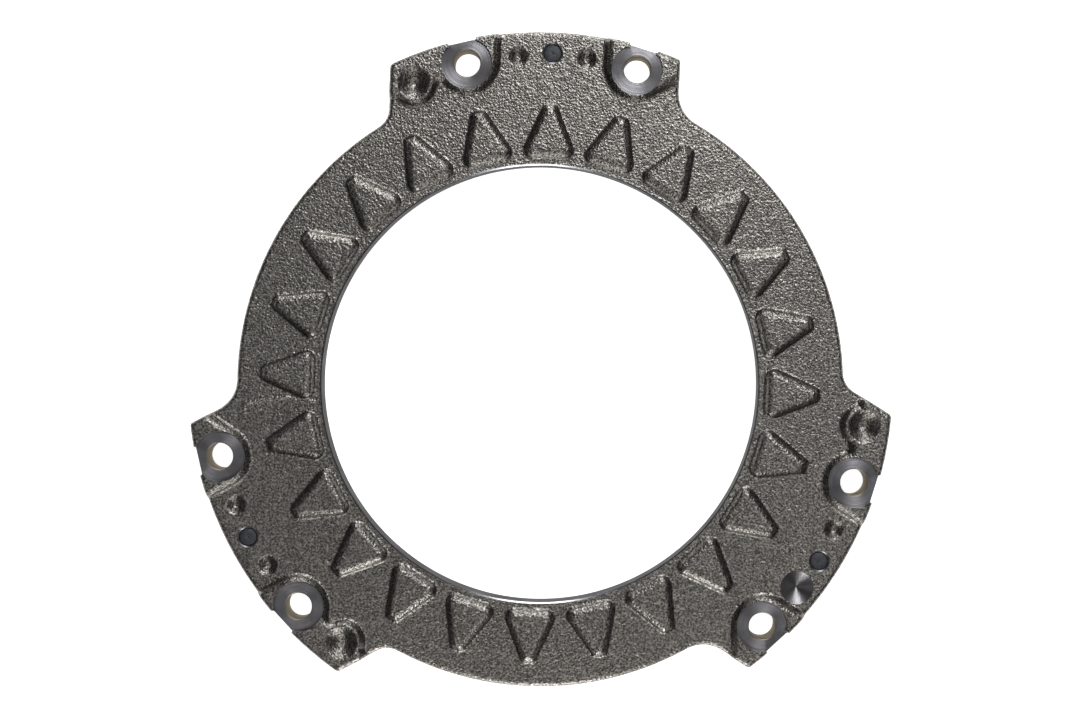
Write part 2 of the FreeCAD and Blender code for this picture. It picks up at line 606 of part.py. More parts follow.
def hand_over(bodies):
    """Stops on any object that failed, and then writes each body under its label."""
    for item in document.Objects:
        if "Invalid" in item.State or "Error" in item.State:
            raise RuntimeError("%s failed: %s" % (item.Name, item.State))
    for body in bodies:
        if body.Shape.isNull() or not body.Shape.isValid() or len(body.Shape.Solids) != 1:
            raise RuntimeError("%s is not one sound solid" % body.Label)
    os.makedirs("parts", exist_ok=True)
    for body in bodies:
        body.Shape.exportStep("parts/%s.step" % body.Label)
        print("%s: %.0f mm3, %d faces" % (body.Label, body.Shape.Volume, len(body.Shape.Faces)))


for step in (add_ring, add_lugs, round_lug_corners, bevel_outline, add_bolt_holes, add_dimples,
             add_balance_drilling, add_dowel_holes, chamfer_mouths, add_pads):
    step()
pins = [add_dowel_pin(number) for number in range(1, int(value["lug_count"]) + 1)]
hand_over([casting] + pins)
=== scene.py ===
from math import acos, atan2, cos, degrees, hypot, inf, pi, radians, sin, sqrt, tan

import bpy
import numpy as np
from mathutils import Matrix, Vector


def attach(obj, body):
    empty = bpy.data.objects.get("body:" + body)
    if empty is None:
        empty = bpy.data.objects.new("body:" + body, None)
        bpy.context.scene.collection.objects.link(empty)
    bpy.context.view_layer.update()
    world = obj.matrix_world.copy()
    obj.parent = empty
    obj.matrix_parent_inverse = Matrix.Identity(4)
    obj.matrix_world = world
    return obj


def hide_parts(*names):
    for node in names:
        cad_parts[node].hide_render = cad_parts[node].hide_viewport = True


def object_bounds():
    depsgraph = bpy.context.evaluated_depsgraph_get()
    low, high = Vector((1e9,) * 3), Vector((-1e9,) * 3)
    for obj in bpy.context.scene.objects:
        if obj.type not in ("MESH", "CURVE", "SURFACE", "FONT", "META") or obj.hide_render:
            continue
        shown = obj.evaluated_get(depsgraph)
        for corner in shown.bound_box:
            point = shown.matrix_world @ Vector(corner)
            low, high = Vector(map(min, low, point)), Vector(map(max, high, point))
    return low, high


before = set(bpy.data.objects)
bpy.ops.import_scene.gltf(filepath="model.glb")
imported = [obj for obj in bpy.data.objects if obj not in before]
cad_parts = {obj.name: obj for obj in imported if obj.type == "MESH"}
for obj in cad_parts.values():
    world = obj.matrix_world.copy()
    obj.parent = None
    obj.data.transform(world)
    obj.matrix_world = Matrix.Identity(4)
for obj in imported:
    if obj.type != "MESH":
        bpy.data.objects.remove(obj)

cad_low, cad_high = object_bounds()

# The as-cast skin: the front of the ring, the lugs with their bosses, the pads and the outer walls.
# Grey iron poured in green sand and shot-blasted, so it is matt, dark and grainy all over.
# It is drawn in three equal sectors, one to a lug, each with its dowel pin on +Y before it is turned.
MM = 0.001
SECTOR = 120
BORE_RADIUS = 95
BORE_CHAMFER = 0.6
BORE_EDGE = BORE_RADIUS + BORE_CHAMFER
RING_TOP = 15
RING_RIM = 132
LUG_RIM = 153
LUG_BACK = 2
BOSS_TOP = 19
BOLT_CIRCLE = 142.5
BOLT_ANGLE = 15
BOLT = (BOLT_CIRCLE * sin(radians(BOLT_ANGLE)), BOLT_CIRCLE * cos(radians(BOLT_ANGLE)))
NEAR_FLANK = BOLT[0] + 18.6
FAR_FLANK = BOLT[0] + 33.3
NEAR_FILLET = 15
FAR_FILLET = 10
NEAR_CORNER = 1.5
FAR_CORNER = 2.5
RIM_FLAT = BOLT_CIRCLE + 9.3
RIM_FLAT_HALF = 6
FLAT_END_DRAFT = 0.3
SEAT_RADIUS = 11
SEAT_HEIGHT = 17.5
RIM_ROUNDING = 2.0
GRID = 0.4


def touching_circle(flank, corner, circle, outside):
    """Centre of a circle of radius corner that touches the line x = flank and a circle round the origin.

    Outside both it is a fillet, and inside both it is a rounded corner. Its x is the flank plus or minus
    the corner, and its distance from the origin is the circle plus or minus the corner.
    """
    side = 1 if outside else -1
    x = flank + side * corner
    return x, sqrt((circle + side * corner) ** 2 - x ** 2)


def run(x, y, nx, ny):
    """Points and outward directions as rows of four: x, y and the unit normal."""
    x, y, nx, ny = np.broadcast_arrays(x, y, nx, ny)
    return np.stack([x, y, nx, ny], axis=1)


def arc_run(centre, radius, start, end, hollow=False):
    """Points along an arc, one radius out from its centre, about GRID apart. Hollow turns normals in."""
    count = max(2, int(radians(abs(end - start)) * radius / GRID))
    turn = np.radians(np.linspace(start, end, count, endpoint=False))
    side = -1 if hollow else 1
    return run(centre[0] + radius * np.cos(turn), centre[1] + radius * np.sin(turn),
               side * np.cos(turn), side * np.sin(turn))


def line_run(start, end, normal):
    """Points along a straight line about GRID apart, all with one normal."""
    count = max(2, int(hypot(end[0] - start[0], end[1] - start[1]) / GRID))
    along = np.linspace(0, 1, count, endpoint=False)
    return run(start[0] + along * (end[0] - start[0]), start[1] + along * (end[1] - start[1]), *normal)


def rim_run(start, end):
    """The rim of a lug by its angle: the lug's radius, or by a bolt RIM_FLAT / cos(angle from it)."""
    half = degrees(atan2(RIM_FLAT_HALF, RIM_FLAT))
    step = degrees(FLAT_END_DRAFT / LUG_RIM)
    bolts = (90 - BOLT_ANGLE, 90 + BOLT_ANGLE)
    corners = [start] + [bolt + side * (half + more) for bolt in bolts
                         for side, more in ((-1, step), (-1, 0), (1, 0), (1, step))] + [end]
    turns = []
    for low, high in zip(corners, corners[1:]):
        count = max(1, int(radians(high - low) * LUG_RIM / GRID))
        turns.append(np.linspace(low, high, count, endpoint=False))
    turn = np.concatenate(turns)
    off = np.min([np.abs(turn - bolt) for bolt in bolts], axis=0)
    radius = np.where(off < half + step / 2, RIM_FLAT / np.cos(np.radians(off)), LUG_RIM)
    turn = np.radians(turn)
    return run(radius * np.cos(turn), radius * np.sin(turn), np.cos(turn), np.sin(turn))


def sector_outline():
    """The outline of one sector, anticlockwise: ring, near flank, rim of the lug, far flank, ring."""
    near_hollow = touching_circle(NEAR_FLANK, NEAR_FILLET, RING_RIM, outside=True)
    near_round = touching_circle(NEAR_FLANK, NEAR_CORNER, LUG_RIM, outside=False)
    far_hollow = touching_circle(FAR_FLANK, FAR_FILLET, RING_RIM, outside=True)
    far_round = touching_circle(FAR_FLANK, FAR_CORNER, LUG_RIM, outside=False)
    near_hollow_turn, near_round_turn, far_hollow_turn, far_round_turn = [
        degrees(atan2(y, x)) for x, y in (near_hollow, near_round, far_hollow, far_round)]
    far_hollow, far_round = (-far_hollow[0], far_hollow[1]), (-far_round[0], far_round[1])
    start, end = 90 - SECTOR / 2, 90 + SECTOR / 2
    parts = [arc_run((0, 0), RING_RIM, start, near_hollow_turn),
             arc_run(near_hollow, NEAR_FILLET, near_hollow_turn + 180, 180, hollow=True),
             line_run((NEAR_FLANK, near_hollow[1]), (NEAR_FLANK, near_round[1]), (1, 0)),
             arc_run(near_round, NEAR_CORNER, 0, near_round_turn),
             rim_run(near_round_turn, 180 - far_round_turn),
             arc_run(far_round, FAR_CORNER, 180 - far_round_turn, 180),
             line_run((-FAR_FLANK, far_round[1]), (-FAR_FLANK, far_hollow[1]), (-1, 0)),
             arc_run(far_hollow, FAR_FILLET, 360, 360 - far_hollow_turn, hollow=True),
             arc_run((0, 0), RING_RIM, 180 - far_hollow_turn, end)]
    last = radians(end)
    parts.append(run([RING_RIM * cos(last)], [RING_RIM * sin(last)], [cos(last)], [sin(last)]))
    return np.concatenate(parts)


def climb(inside, height, draft, foot, shoulder):
    """Height of a drafted cast wall at a distance inside its foot line, read from the wall's profile.

    The profile is a hollow arc of radius foot, a straight slope, and a round arc of radius shoulder.
    """
    slope = radians(90 - draft)
    turn = np.linspace(0, slope, 12)
    foot_start = -foot * tan(slope / 2)
    shoulder_end = height / tan(slope) + shoulder * tan(slope / 2)
    across = np.concatenate([foot_start + foot * np.sin(turn),
                             shoulder_end - shoulder * np.sin(turn[::-1])])
    up = np.concatenate([foot * (1 - np.cos(turn)), height - shoulder * (1 - np.cos(turn[::-1]))])
    return np.interp(inside, across, up)


BOSS_RADIUS = 14.2
BOSS_CENTRE = (BOLT[0], BOLT[1] + 1.4)
BOSS_EXIT = 29
DIMPLE = (FAR_FLANK - 10.7, BOLT[1] - 9.6)
DIMPLE_BOSS_RADIUS = 9.6
DIMPLE_BOSS_EXIT = DIMPLE[1] - 6.6
NOTCH_RADIUS = 2.6
BOSS_DRAFT = 24
BOSS_FOOT = 1.4
BOSS_SHOULDER = 3.6


def near_boss(x, y):
    """Distance inside the foot of the near boss: two straight walls and a corner of the boss radius."""
    dx, dy = x - BOSS_CENTRE[0], y - BOSS_CENTRE[1]
    lean = radians(BOSS_EXIT)
    past_wall, past_exit = -dx, sin(lean) * dx - cos(lean) * dy
    in_corner = (dy < 0) & (cos(lean) * dx + sin(lean) * dy < 0)
    return BOSS_RADIUS - np.where(in_corner, np.hypot(dx, dy), np.maximum(past_wall, past_exit))


def far_boss(x, y):
    """Distance inside the foot of the far boss: two round bosses joined, with a small round notch between.

    It is the largest of four distances: inside the bolt's round and the wall above it, inside the dimple's
    round, inside the end that runs out to the flank, and outside the notch's circle.
    """
    x = -x
    dx, dy = x - BOSS_CENTRE[0], y - BOSS_CENTRE[1]
    bolt_part = BOSS_RADIUS - np.where(dy < 0, np.hypot(dx, dy), -dx)
    dimple_part = DIMPLE_BOSS_RADIUS - np.hypot(x - DIMPLE[0], y - DIMPLE[1])
    end_part = np.minimum(y - DIMPLE_BOSS_EXIT, x - DIMPLE[0])

    span = hypot(BOSS_CENTRE[0] - DIMPLE[0], BOSS_CENTRE[1] - DIMPLE[1])
    near_side, far_side = DIMPLE_BOSS_RADIUS + NOTCH_RADIUS, BOSS_RADIUS + NOTCH_RADIUS
    along = (span ** 2 + near_side ** 2 - far_side ** 2) / (2 * span)
    down = sqrt(near_side ** 2 - along ** 2)
    ux, uy = (BOSS_CENTRE[0] - DIMPLE[0]) / span, (BOSS_CENTRE[1] - DIMPLE[1]) / span
    notch = (DIMPLE[0] + along * ux - down * uy, DIMPLE[1] + along * uy + down * ux)
    px, py = x - notch[0], y - notch[1]

    def side_of(spot):
        """Cross product of the ways from the notch to a spot and to the point: its sign is the side."""
        return (spot[0] - notch[0]) * py - (spot[1] - notch[1]) * px

    between = (side_of(BOSS_CENTRE) < 0) & (side_of(DIMPLE) > 0)
    notch_part = np.where(between, np.hypot(px, py) - NOTCH_RADIUS, -inf)
    return np.max([bolt_part, dimple_part, end_part, notch_part], axis=0)


PADS = 24
PAD_HEIGHT = 3.2
PAD_DRAFT = 26
PAD_FOOT = 1.2
PAD_SHOULDER = 3.6
PAD_EDGE = 2.9
PAD_LENGTH = 23.6
PAD_BASE_WIDTH = 21.4
PAD_BASE_CORNER = 4
PAD_APEX_WIDTH = 7.2
PAD_APEX_CORNER = 2.4
PAD_BASE = (PAD_BASE_WIDTH / 2 - PAD_BASE_CORNER, BORE_RADIUS + PAD_EDGE + PAD_BASE_CORNER)
PAD_APEX = (PAD_APEX_WIDTH / 2 - PAD_APEX_CORNER, BORE_RADIUS + PAD_EDGE + PAD_LENGTH - PAD_APEX_CORNER)


def pad_inside(x, y):
    """Distance inside the foot of the nearest pad, which is the hull of four corner circles.

    The point is turned back to the pad on +Y and mirrored to its right half. The distance is the least of
    those inside the flank, the base and the apex, or in a corner the distance inside its circle.
    """
    pitch = 2 * pi / PADS
    turn = np.arctan2(-x, y)
    turn = turn - pitch * np.round(turn / pitch)
    reach = np.hypot(x, y)
    x, y = np.abs(reach * np.sin(turn)), reach * np.cos(turn)
    across, up = PAD_APEX[0] - PAD_BASE[0], PAD_APEX[1] - PAD_BASE[1]
    facing = atan2(up, across) - acos((PAD_BASE_CORNER - PAD_APEX_CORNER) / hypot(across, up))
    nx, ny = cos(facing), sin(facing)
    base_x, base_y, apex_x, apex_y = x - PAD_BASE[0], y - PAD_BASE[1], x - PAD_APEX[0], y - PAD_APEX[1]
    flank = PAD_BASE_CORNER - (base_x * nx + base_y * ny)
    straight = np.min([flank, base_y + PAD_BASE_CORNER, PAD_APEX_CORNER - apex_y], axis=0)
    in_base = (base_x > 0) & (base_x * ny - base_y * nx > 0)
    in_apex = (apex_x > 0) & (apex_x * ny - apex_y * nx < 0)
    inside = np.where(in_base, PAD_BASE_CORNER - np.hypot(base_x, base_y), straight)
    return np.where(in_apex, PAD_APEX_CORNER - np.hypot(apex_x, apex_y), inside)


# A dimple's values are its radius, its depth, its draft, and the roundings of its mouth and its floor.
LARGE_DIMPLE = (7.25, 4.2, 53, 1.5, 5.0)
SMALL_DIMPLE = (4.3, 2.4, 52, 1.0, 1.4)
SMALL_DIMPLE_TURN = radians(6)
SMALL_DIMPLE_SPOTS = [(side * BOLT_CIRCLE * sin(SMALL_DIMPLE_TURN), BOLT_CIRCLE * cos(SMALL_DIMPLE_TURN))
                      for side in (-1, 1)]


def cast_height(x, y):
    """Height of the as-cast front at a point: the ring, plus the bosses and pads, less the dimples."""
    bosses = np.maximum(near_boss(x, y), far_boss(x, y))
    height = RING_TOP + climb(bosses, BOSS_TOP - RING_TOP, BOSS_DRAFT, BOSS_FOOT, BOSS_SHOULDER)
    height = height + climb(pad_inside(x, y), PAD_HEIGHT, PAD_DRAFT, PAD_FOOT, PAD_SHOULDER)
    dimples = [(LARGE_DIMPLE, (-DIMPLE[0], DIMPLE[1]))]
    dimples += [(SMALL_DIMPLE, spot) for spot in SMALL_DIMPLE_SPOTS]
    for (radius, depth, draft, mouth, bottom), spot in dimples:
        inside = radius - np.hypot(x - spot[0], y - spot[1])
        height = height - climb(inside, depth, draft, mouth, bottom)
    return height


# The line is on one lug only, so its points are places on the plate, from the root of the lug to the bore.
WITNESS_LUG = 2
WITNESS = [(-128.0, -18.3), (-128.2, -13.4), (-110.0, -10.1), (-98.1, -11.5)]
WITNESS_HEIGHT = 0.32
WITNESS_WIDTH = 0.55


def pattern_witness(x, y):
    """Height of the fine raised line left by a joint in the pattern: a bell curve of the distance to it."""
    away = np.full(x.shape, inf)
    for (x1, y1), (x2, y2) in zip(WITNESS, WITNESS[1:]):
        length = hypot(x2 - x1, y2 - y1)
        ux, uy = (x2 - x1) / length, (y2 - y1) / length
        along = np.clip((x - x1) * ux + (y - y1) * uy, 0, length)
        away = np.minimum(away, np.hypot(x - x1 - along * ux, y - y1 - along * uy))
    return WITNESS_HEIGHT * np.exp(-(away / WITNESS_WIDTH) ** 2)


# Each row of the relief is a grain size and its depth: the sand, and the slight unevenness of the mould.
rng = np.random.default_rng(11)
SAND = [(0.75, 0.10), (2.5, 0.015)]
TABLE = 512
sand_tables = [rng.random((TABLE, TABLE)) for _ in SAND]


def sand(u, v):
    """Depth of the sandy relief: for each grain size, random depths on a square grid, read smoothly."""
    depth = np.zeros(np.broadcast(u, v).shape)
    for (grain, amount), table in zip(SAND, sand_tables):
        across, up = u / grain, v / grain
        i, j = np.floor(across).astype(int), np.floor(up).astype(int)
        s, t = across - i, up - j
        s, t = s * s * (3 - 2 * s), t * t * (3 - 2 * t)
        i, j, i2, j2 = i % TABLE, j % TABLE, (i + 1) % TABLE, (j + 1) % TABLE
        low = table[i, j] * (1 - s) + table[i2, j] * s
        high = table[i, j2] * (1 - s) + table[i2, j2] * s
        depth += amount * (low * (1 - t) + high * t)
    return depth


def turned(x, y, angle):
    """A point turned anticlockwise about the plate's axis by an angle in degrees."""
    c, s = cos(radians(angle)), sin(radians(angle))
    return c * x - s * y, s * x + c * y


def snap(x, y, spot, radius, rows):
    """Moves the grid points that are nearest a circle on to it, so that a round hole can be cut along it.

    A point moves if it is within half its longest grid edge of the circle. Only the first rows are snapped.
    """
    def reach(along):
        """The longer of the two grid edges that meet at each point along one direction of the grid."""
        step = np.hypot(np.diff(x, axis=along), np.diff(y, axis=along))
        pad = [(0, 0), (0, 0)]
        pad[along] = (1, 0)
        other = [(0, 0), (0, 0)]
        other[along] = (0, 1)
        return np.maximum(np.pad(step, pad), np.pad(step, other))

    half_edge = np.maximum(reach(0), reach(1)) / 2
    away = np.hypot(x - spot[0], y - spot[1])
    on = (np.abs(away - radius) <= half_edge) & (np.arange(len(x))[:, None] < rows)
    scale = radius / np.maximum(away, 1e-6)
    x = np.where(on, spot[0] + (x - spot[0]) * scale, x)
    y = np.where(on, spot[1] + (y - spot[1]) * scale, y)
    return x, y, on


def grid_quads(rows, columns, closed=False):
    """Corner numbers of a grid's quads, counted row by row. Closed joins the last column to the first."""
    row = np.arange(rows - 1)[:, None]
    column = np.arange(columns if closed else columns - 1)[None, :]
    after = (column + 1) % columns
    corners = [row * columns + column, row * columns + after,
               (row + 1) * columns + after, (row + 1) * columns + column]
    return np.stack(np.broadcast_arrays(*corners), axis=-1).reshape(-1, 4)


def cut_round_holes(quads, x, y, holes, on_circle, low_rows):
    """Splits the quads in two and drops the triangles inside the holes.

    A quad is split from one snapped corner to the other, so no triangle crosses a circle.
    """
    flat_on = on_circle.ravel()[quads]
    other_way = flat_on[:, 1] & flat_on[:, 3]
    first = np.where(other_way[:, None], quads[:, [0, 1, 3]], quads[:, [0, 1, 2]])
    second = np.where(other_way[:, None], quads[:, [1, 2, 3]], quads[:, [0, 2, 3]])
    triangles = np.concatenate([first, second])
    keep = np.ones(len(triangles), bool)
    px, py = x.ravel()[triangles], y.ravel()[triangles]
    low = (triangles < low_rows * x.shape[1]).all(axis=1)
    for spot, radius in holes:
        away = np.hypot(px - spot[0], py - spot[1])
        keep &= ~((away.max(axis=1) < radius + 1e-4) & low)
    return triangles[keep]


def add_piece(name, points, faces, material, slot, crease=35, columns=0):
    """Makes a piece from points in millimetres, smooth but for edges that bend more than the crease angle.

    A round piece gives its columns. Its UV map then has the turn about its axis as u and the row as v, and
    a face across the seam ends at u = 1.
    """
    used, faces_flat = np.unique(faces, return_inverse=True)
    faces = faces_flat.reshape(faces.shape)
    points = points[used]
    mesh = bpy.data.meshes.new(name)
    sides = faces.shape[1]
    mesh.vertices.add(len(points))
    mesh.vertices.foreach_set("co", (points * MM).astype(np.float32).ravel())
    mesh.loops.add(faces.size)
    mesh.loops.foreach_set("vertex_index", faces.ravel().astype(np.int32))
    mesh.polygons.add(len(faces))
    mesh.polygons.foreach_set("loop_start", np.arange(0, faces.size, sides, dtype=np.int32))
    mesh.polygons.foreach_set("use_smooth", np.ones(len(faces), bool))
    if columns:
        u, v = used[faces] % columns / columns, used[faces] // columns / columns
        u = np.where((np.ptp(u, axis=1) > 0.5)[:, None] & (u < 0.5), u + 1, u)
        turn_map = mesh.uv_layers.new(name="turn")
        turn_map.uv.foreach_set("vector", np.stack([u, v], axis=-1).astype(np.float32).ravel())
    mesh.update(calc_edges=True)
    mesh.validate()
    mesh.set_sharp_from_angle(angle=radians(crease))
    mesh.materials.append(material)
    piece = bpy.data.objects.new(name, mesh)
    bpy.context.scene.collection.objects.link(piece)
    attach(piece, "root")
    return piece


def linear(colour):
    """An sRGB hex colour as linear red, green, blue and alpha."""
    parts = [int(colour[n:n + 2], 16) / 255 for n in (1, 3, 5)]
    return [c / 12.92 if c <= 0.04045 else ((c + 0.055) / 1.055) ** 2.4 for c in parts] + [1]


def add_node(material, kind, links=None, **settings):
    """Adds a shader node. A setting is the value of an input or, where none is so named, a property."""
    made = material.node_tree.nodes.new("ShaderNode" + kind)
    for name, setting in settings.items():
        socket = made.inputs.get(name.replace("_", " "))
        if socket is not None and not hasattr(made, name):
            socket.default_value = setting
        else:
            setattr(made, name, setting)
    for name, source in (links or {}).items():
        socket = made.inputs[name] if isinstance(name, int) else made.inputs[name.replace("_", " ")]
        material.node_tree.links.new(source, socket)
    return made


def new_material(name):
    """A new material and its Principled shader, already linked to the output."""
    material = bpy.data.materials.new(name)
    material.use_nodes = True
    shader = material.node_tree.nodes["Principled BSDF"]
    return material, shader


def cast_iron():
    """Grey iron cast in sand and shot-blasted: a dull metallic skin of fine bright and dark grains.

    Its relief is the distance from the nearest of many scattered points plus 0.6 times a finer noise, and
    the same sum picks its tone. A third noise, 0.8 mm, makes single grains lighter or darker, and a faint
    brown speck of rust lies every 8 mm or so. The sand's own grain, about 0.3 mm, is too fine to show
    from here, so it is drawn about 1 mm coarse.
    """
    material, shader = new_material("grey_cast_iron_shot_blasted")
    place = add_node(material, "TexCoord").outputs["Object"]
    pits = add_node(material, "TexVoronoi", {"Vector": place}, Scale=1 / (0.95 * MM))
    fine = add_node(material, "TexNoise", {"Vector": place}, Scale=1 / (0.5 * MM), Detail=2.0,
                    Roughness=0.5)
    grain = add_node(material, "Math", {0: fine.outputs["Fac"], 2: pits.outputs["Distance"]},
                     operation="MULTIPLY_ADD")
    grain.inputs[1].default_value = 0.6
    lumps = add_node(material, "TexNoise", {"Vector": place}, Scale=1 / (0.8 * MM), Detail=0.0)
    tone = add_node(material, "ValToRGB", {"Fac": grain.outputs["Value"]})
    tone.color_ramp.elements[0].position, tone.color_ramp.elements[0].color = 0.35, linear("#36342f")
    tone.color_ramp.elements[1].position, tone.color_ramp.elements[1].color = 1.0, linear("#8d8a86")
    shade = add_node(material, "MapRange", {"Value": lumps.outputs["Fac"]},
                     From_Min=0.3, From_Max=0.7, To_Min=0.6, To_Max=1.45)
    mixed = add_node(material, "VectorMath", {0: tone.outputs["Color"], "Scale": shade.outputs["Result"]},
                     operation="SCALE")
    spots = add_node(material, "TexVoronoi", {"Vector": place}, Scale=1 / (8 * MM))
    speck = add_node(material, "MapRange", {"Value": spots.outputs["Distance"]},
                     From_Min=0.035, From_Max=0.055, To_Min=0.7, To_Max=0.0)
    # A colour Mix node has its two colours at inputs 6 and 7, and their mix at output 2.
    rusted = add_node(material, "Mix", {"Factor": speck.outputs["Result"], 6: mixed.outputs["Vector"]},
                      data_type="RGBA")
    rusted.inputs[7].default_value = linear("#9a8450")
    relief = add_node(material, "Bump", {"Height": grain.outputs["Value"]}, Strength=1.0,
                      Distance=0.16 * MM)
    material.node_tree.links.new(rusted.outputs[2], shader.inputs["Base Color"])
    material.node_tree.links.new(relief.outputs["Normal"], shader.inputs["Normal"])
    shader.inputs["Metallic"].default_value = 1
    shader.inputs["Roughness"].default_value = 0.36
    return material


skin_iron = cast_iron()
outline = sector_outline()
FLAT_ROWS = 96
ROUND_ROWS = 5
WALL_ROWS = 12
WALL_SAND = 0.8
WALL_SHIFT = 300
DOWEL = (0, 143.75)
DOWEL_MOUTH = 4.6
BALANCE_SECTOR = 3
BALANCE = SMALL_DIMPLE_SPOTS[1]
BALANCE_RADIUS = 7.2


def skin_sector(number):
    """One sector of the skin as a grid: columns along the outline, rows from the bore and down the wall.

    Flat rows run straight from the bore's edge to the outline and take their height from the cast form.
    Round rows turn over the edge by a quarter circle, and wall rows go down to the back of the lugs. Where
    the outline passes a bolt seat, the edge is sharp and as low as the seat.
    """
    x_out, y_out, nx, ny = outline.T
    to_bolt = np.min([np.hypot(x_out - side * BOLT[0], y_out - BOLT[1]) for side in (-1, 1)], axis=0)
    at_seat = to_bolt < SEAT_RADIUS
    rounding = np.where(at_seat, 0, RIM_ROUNDING)
    bore = BORE_EDGE / np.hypot(x_out, y_out)
    x_edge, y_edge = x_out - rounding * nx, y_out - rounding * ny
    share = np.linspace(0, 1, FLAT_ROWS)[:, None]
    x = x_out * bore * (1 - share) + x_edge * share
    y = y_out * bore * (1 - share) + y_edge * share

    holes = [((side * BOLT[0], BOLT[1]), SEAT_RADIUS) for side in (-1, 1)] + [(DOWEL, DOWEL_MOUTH)]
    if number == BALANCE_SECTOR:
        holes.append((BALANCE, BALANCE_RADIUS))
    on_circle = np.zeros(x.shape, bool)
    for spot, radius in holes:
        x, y, on = snap(x, y, spot, radius, FLAT_ROWS - 1)
        on_circle |= on
    turn = (number - 1) * SECTOR
    z = cast_height(x, y) - sand(*turned(x, y, turn))
    if number == WITNESS_LUG:
        z = z + pattern_witness(*turned(x, y, turn))
    z[0] = RING_TOP
    edge = np.where(at_seat, SEAT_HEIGHT, z[-1])

    quarter = np.linspace(0, pi / 2, ROUND_ROWS + 1)[1:, None]
    inset = rounding * (1 - np.sin(quarter))
    x_round, y_round = x_out - inset * nx, y_out - inset * ny
    z_round = edge - rounding * (1 - np.cos(quarter))
    down = np.linspace(0, 1, WALL_ROWS + 1)[1:, None]
    z_wall = (edge - rounding) * (1 - down) + LUG_BACK * down
    along = np.cumsum(np.hypot(np.diff(x_out, prepend=x_out[0]), np.diff(y_out, prepend=y_out[0])))
    fade = np.sin(pi * down) ** 0.5
    depth = WALL_SAND * sand(along + WALL_SHIFT * number, z_wall) * fade
    x_wall, y_wall = x_out - depth * nx, y_out - depth * ny
    x = np.concatenate([x, x_round, x_wall])
    y = np.concatenate([y, y_round, y_wall])
    z = np.concatenate([z, z_round, z_wall])
    on_circle = np.concatenate([on_circle, np.zeros((ROUND_ROWS + WALL_ROWS, len(outline)), bool)])

    quads = grid_quads(*x.shape)
    faces = cut_round_holes(quads, x, y, holes, on_circle, FLAT_ROWS + ROUND_ROWS)
    x, y = turned(x, y, turn)
    points = np.stack([x.ravel(), y.ravel(), z.ravel()], axis=1)
    return points, faces[:, ::-1]


for number in (1, 2, 3):
    skin = add_piece("cast_skin_%d" % number, *skin_sector(number), skin_iron, "cast_iron", crease=60)
    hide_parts("pressure_plate_casting")

# The turned faces: the bore, the friction face and the chamfers at their edges, cut in one chucking.
# Fresh grey iron from a lathe, a smooth bluish grey with fine rings round the plate's axis.
# Two profiles are carried round the axis: the bore's front chamfer, and all the rest up to the lug backs.
BACK_CHAMFER = 1
RIM_CHAMFER = 1.5
CHAMFER_PROFILE = [(BORE_EDGE, RING_TOP), (BORE_RADIUS, RING_TOP - BORE_CHAMFER)]
TURNED_PROFILE = [(BORE_RADIUS, RING_TOP - BORE_CHAMFER), (BORE_RADIUS, BACK_CHAMFER),
                  (BORE_RADIUS + BACK_CHAMFER, 0), (RING_RIM - RIM_CHAMFER, 0),
                  (RING_RIM, RIM_CHAMFER), (RING_RIM, LUG_BACK)]
TURNED_STEP = 1.5
TURNED_COLUMNS = 720


def carried_round(profile, columns, centre=(0, 0)):
    """A profile of radius and height carried round an upright axis: one circle of points to each row."""
    radius, height = np.array(profile, float).T
    turn = np.linspace(0, 2 * pi, columns, endpoint=False)
    x = centre[0] + radius[:, None] * np.cos(turn)
    y = centre[1] + radius[:, None] * np.sin(turn)
    z = np.broadcast_to(height[:, None], x.shape)
    points = np.stack([x.ravel(), y.ravel(), z.ravel()], axis=1)
    return points, grid_quads(len(profile), columns, closed=True)


def divided(profile, step):
    """A profile with more points along its straight runs, none further apart than about the step."""
    rows = [profile[0]]
    for (r1, z1), (r2, z2) in zip(profile, profile[1:]):
        count = max(1, round(hypot(r2 - r1, z2 - z1) / step))
        rows += [(r1 + (r2 - r1) * n / count, z1 + (z2 - z1) * n / count) for n in range(1, count + 1)]
    return rows


def machined_iron(name, roughness, dark, light, edge="#ffffff", ring_pitch=0, grooved=0):
    """Machined grey iron: a clean grey metal with hardly any grain, a little stained between two tones.

    A ring pitch in millimetres adds the fine rings of the lathe round the plate's axis. Grooved stretches
    the gloss across tool marks that run round the piece's own axis. The edge is its tint when it is seen
    at a grazing angle.
    """
    material, shader = new_material(name)
    place = add_node(material, "TexCoord").outputs["Object"]
    stain = add_node(material, "TexNoise", {"Vector": place}, Scale=1 / (9 * MM), Detail=5.0)
    tone = add_node(material, "ValToRGB", {"Fac": stain.outputs["Fac"]})
    tone.color_ramp.elements[0].position, tone.color_ramp.elements[0].color = 0.3, linear(dark)
    tone.color_ramp.elements[1].position, tone.color_ramp.elements[1].color = 0.75, linear(light)
    material.node_tree.links.new(tone.outputs["Color"], shader.inputs["Base Color"])
    if ring_pitch:
        # A wave texture has one ring in each pi / 10 of its scaled distance.
        rings = add_node(material, "TexWave", {"Vector": place}, wave_type="RINGS", rings_direction="Z",
                         Scale=pi / 10 / (ring_pitch * MM), Distortion=0.4, Detail=2.0)
        relief = add_node(material, "Bump", {"Height": rings.outputs["Fac"]}, Strength=0.25,
                          Distance=0.05 * MM)
        material.node_tree.links.new(relief.outputs["Normal"], shader.inputs["Normal"])
    if grooved:
        along = add_node(material, "Tangent", direction_type="UV_MAP", uv_map="turn")
        material.node_tree.links.new(along.outputs["Tangent"], shader.inputs["Tangent"])
        shader.inputs["Anisotropic"].default_value = grooved
        shader.inputs["Anisotropic Rotation"].default_value = 0.25
    shader.inputs["Metallic"].default_value = 1
    shader.inputs["Roughness"].default_value = roughness
    shader.inputs["Specular Tint"].default_value = linear(edge)
    return material


